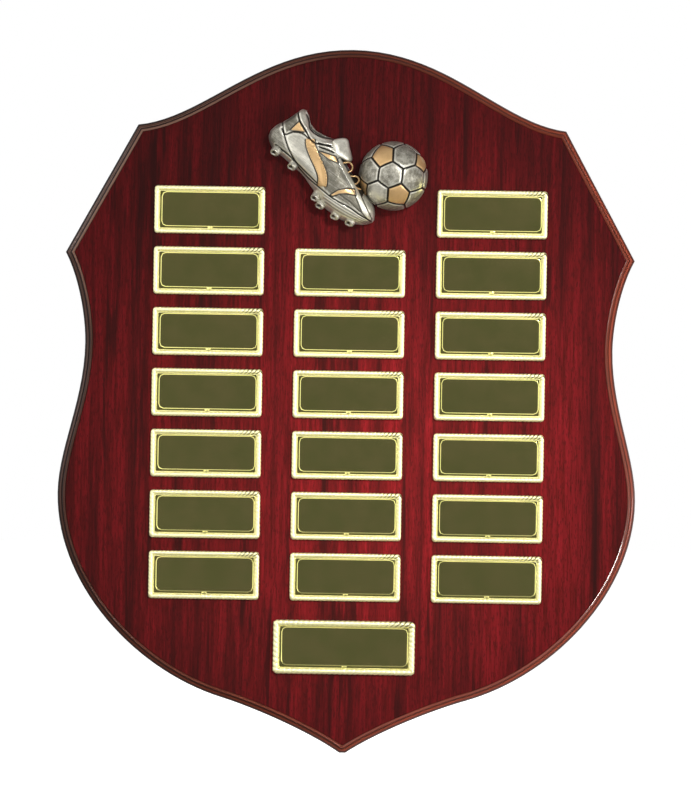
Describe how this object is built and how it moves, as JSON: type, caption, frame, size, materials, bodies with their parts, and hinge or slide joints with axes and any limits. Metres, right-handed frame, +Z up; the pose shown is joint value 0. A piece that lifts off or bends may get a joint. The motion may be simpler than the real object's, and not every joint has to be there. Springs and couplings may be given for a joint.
{
  "type": "perpetual trophy shield",
  "caption": "Wall-hung wooden shield with framed record plates, a title plate and a relief of a football boot and ball; a ring on its back folds out for the wall hook.",
  "frame": {"origin": "on the wall plane, at the shield's middle, at the height where the wall hook bears inside the top of the raised hanging ring", "axes": "+Z up, +Y towards the wall, -Y out of the decorated face, +X to the right as seen from the front"},
  "size_m": [0.355, 0.0508, 0.432],
  "materials": {
    "board_edge": "dark mahogany stain under gloss lacquer",
    "rosewood_face": "deep red figured veneer under gloss lacquer",
    "back_sheet": "matt dark brown balancing sheet",
    "rope_gold": "bright pale gold metallised rope-twist moulding",
    "plate_gold": "mirror-polished gold engraving plate",
    "antique_silver": "cold-cast resin in antique silver with gold details",
    "foam_tape": "white foam mounting tape",
    "zinc_steel": "bright zinc-plated steel",
    "bumper_rubber": "matt black rubber"
  },
  "bodies": {
    "shield": {"shield_board": "board_edge", "face_veneer": "rosewood_face", "back_veneer": "back_sheet", "record_holder_01": "rope_gold", "record_holder_02": "rope_gold", "record_holder_03": "rope_gold", "record_holder_04": "rope_gold", "record_holder_05": "rope_gold", "record_holder_06": "rope_gold", "record_holder_07": "rope_gold", "record_holder_08": "rope_gold", "record_holder_09": "rope_gold", "record_holder_10": "rope_gold", "record_holder_11": "rope_gold", "record_holder_12": "rope_gold", "record_holder_13": "rope_gold", "record_holder_14": "rope_gold", "record_holder_15": "rope_gold", "record_holder_16": "rope_gold", "record_holder_17": "rope_gold", "record_holder_18": "rope_gold", "record_holder_19": "rope_gold", "record_holder_20": "rope_gold", "title_holder": "rope_gold", "record_plate_01": "plate_gold", "record_plate_02": "plate_gold", "record_plate_03": "plate_gold", "record_plate_04": "plate_gold", "record_plate_05": "plate_gold", "record_plate_06": "plate_gold", "record_plate_07": "plate_gold", "record_plate_08": "plate_gold", "record_plate_09": "plate_gold", "record_plate_10": "plate_gold", "record_plate_11": "plate_gold", "record_plate_12": "plate_gold", "record_plate_13": "plate_gold", "record_plate_14": "plate_gold", "record_plate_15": "plate_gold", "record_plate_16": "plate_gold", "record_plate_17": "plate_gold", "record_plate_18": "plate_gold", "record_plate_19": "plate_gold", "record_plate_20": "plate_gold", "title_plate": "plate_gold", "boot_and_ball_casting": "antique_silver", "casting_pad_boot": "foam_tape", "casting_pad_ball": "foam_tape", "hanger_strap": "zinc_steel", "hanger_screw_upper": "zinc_steel", "hanger_screw_lower": "zinc_steel", "wall_bumper_left": "bumper_rubber", "wall_bumper_right": "bumper_rubber"},
    "ring": {"hanger_ring": "zinc_steel"}
  },
  "joints": [
    {"name": "ring_swing", "type": "hinge", "parent": "shield", "child": "ring", "pos_m": [0, -0.0032, -0.01375], "axis": [-1, 0, 0], "range_deg": [0, 175]}
  ]
}
